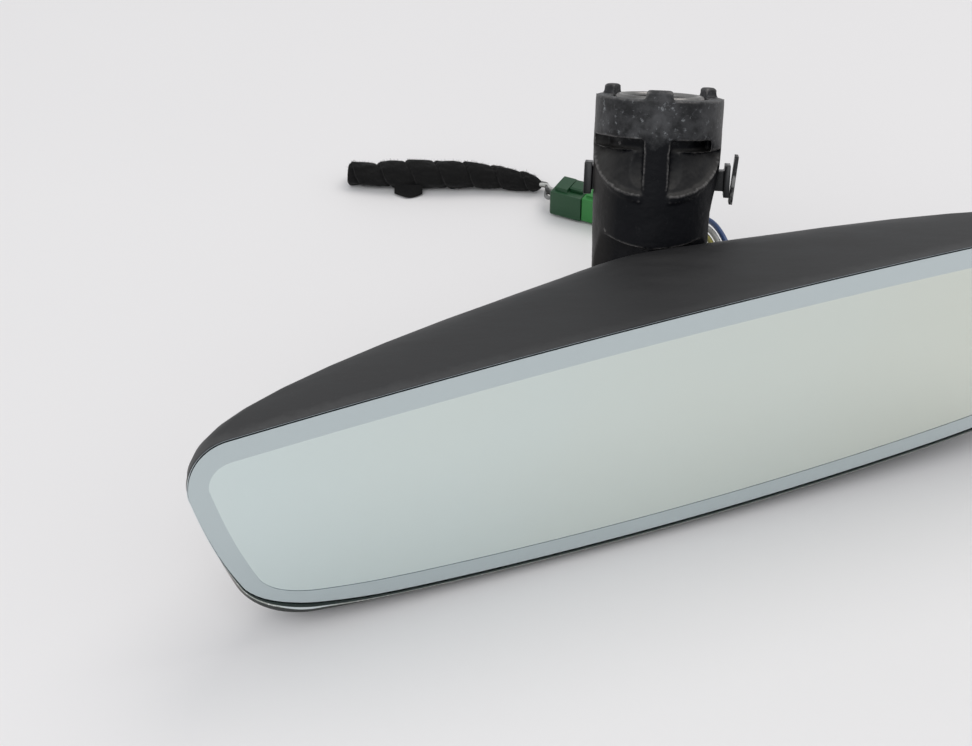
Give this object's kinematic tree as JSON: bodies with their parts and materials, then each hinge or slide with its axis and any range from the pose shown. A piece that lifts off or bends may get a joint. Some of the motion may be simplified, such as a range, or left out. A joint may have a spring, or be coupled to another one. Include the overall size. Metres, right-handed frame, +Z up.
{
  "type": "interior rearview mirror",
  "caption": "Frameless dimming rearview mirror head with a boat-hulled housing, on a ball stud below a leaning cast stem with a round nubbed foot and a taped plug-in wiring tail.",
  "frame": {"origin": "centre of the foot's end face, where the stem meets the windscreen button", "axes": "+Z up in the car, -Y towards the cabin, +X to the right seen from the cabin; the stem's axis leans 25 degrees from +Z towards +Y"},
  "size_m": [0.2206, 0.2182, 0.0937],
  "materials": {
    "cast_black": "black painted zinc die casting, worn grey at the foot",
    "steel": "plain steel",
    "spring_steel": "dark oiled spring steel",
    "black_plastic": "black moulded plastic",
    "housing_plastic": "fine-grained black plastic shell",
    "natural_plastic": "natural acetal",
    "clear_glass": "clear float glass with ground edge",
    "ring_coat": "chrome ring coating",
    "mirror_coat": "silver reflector on the rear glass",
    "seal_epoxy": "cured epoxy",
    "gel": "clear electrochromic gel",
    "gasket_foam": "black foam",
    "board_green": "green solder mask",
    "chip_black": "moulded chip packages",
    "connector_green": "green connector plastic",
    "brass": "tinned brass contacts",
    "wire_blue": "blue wire sleeve",
    "wire_grey": "light grey wire sleeve",
    "wire_yellow": "yellow wire sleeve",
    "wire_mixed": "white, grey and brown wire sleeves",
    "tape": "black fleece harness tape",
    "lens": "smoked sensor window"
  },
  "bodies": {
    "stem": {"stem_casting": "cast_black", "ball_stud": "steel", "spring_seat": "black_plastic", "foot_spring": "spring_steel", "foot_screw": "steel", "left_cover_clip": "black_plastic", "right_cover_clip": "black_plastic", "clip_leaf": "spring_steel", "blue_wire": "wire_blue", "grey_wire": "wire_grey", "yellow_wire": "wire_yellow", "receptacle": "connector_green", "receptacle_pins": "brass"},
    "swivel": {"ball_liner": "natural_plastic"},
    "tilt": {"pressure_cup": "steel"},
    "head": {"front_glass": "clear_glass", "chrome_ring": "ring_coat", "edge_gasket": "gasket_foam", "cell_seal": "seal_epoxy", "dimming_gel": "gel", "rear_glass": "mirror_coat", "bus_clips": "steel", "foam_tape": "gasket_foam", "carrier_plate": "black_plastic", "circuit_board": "board_green", "board_screws": "steel", "board_components": "chip_black", "board_header": "natural_plastic", "light_sensor": "chip_black", "glare_sensor": "chip_black", "socket_base": "black_plastic", "friction_spring": "spring_steel", "clamp_plate": "steel", "clamp_screws": "steel", "rear_housing": "housing_plastic", "recess_trim": "black_plastic", "sensor_window": "lens"},
    "harness": {"plug_housing": "connector_green", "plug_lock": "connector_green", "plug_terminals": "brass", "plug_wires": "wire_mixed", "harness_sleeve": "tape"}
  },
  "joints": [
    {"name": "head_swivel", "type": "hinge", "parent": "stem", "child": "swivel", "pos_m": [0, -0.04779, -0.05043], "axis": [0, 0, 1], "range_deg": [-53, 1.5], "deforming": ["blue_wire", "grey_wire", "yellow_wire"]},
    {"name": "head_tilt", "type": "hinge", "parent": "swivel", "child": "tilt", "pos_m": [0, -0.04779, -0.05043], "axis": [0.8946, 0.446, 0.0262], "range_deg": [-3, 15], "deforming": ["blue_wire", "grey_wire", "yellow_wire"]},
    {"name": "head_roll", "type": "hinge", "parent": "tilt", "child": "head", "pos_m": [0, -0.04779, -0.05043], "axis": [-0.4462, 0.8949, 0], "range_deg": [-8, 8], "deforming": ["blue_wire", "grey_wire", "yellow_wire"]},
    {"name": "plug_release", "type": "slide", "parent": "stem", "child": "harness", "axis": [-0.9323, 0.3616, 0], "range_m": [0, 0.012]}
  ]
}
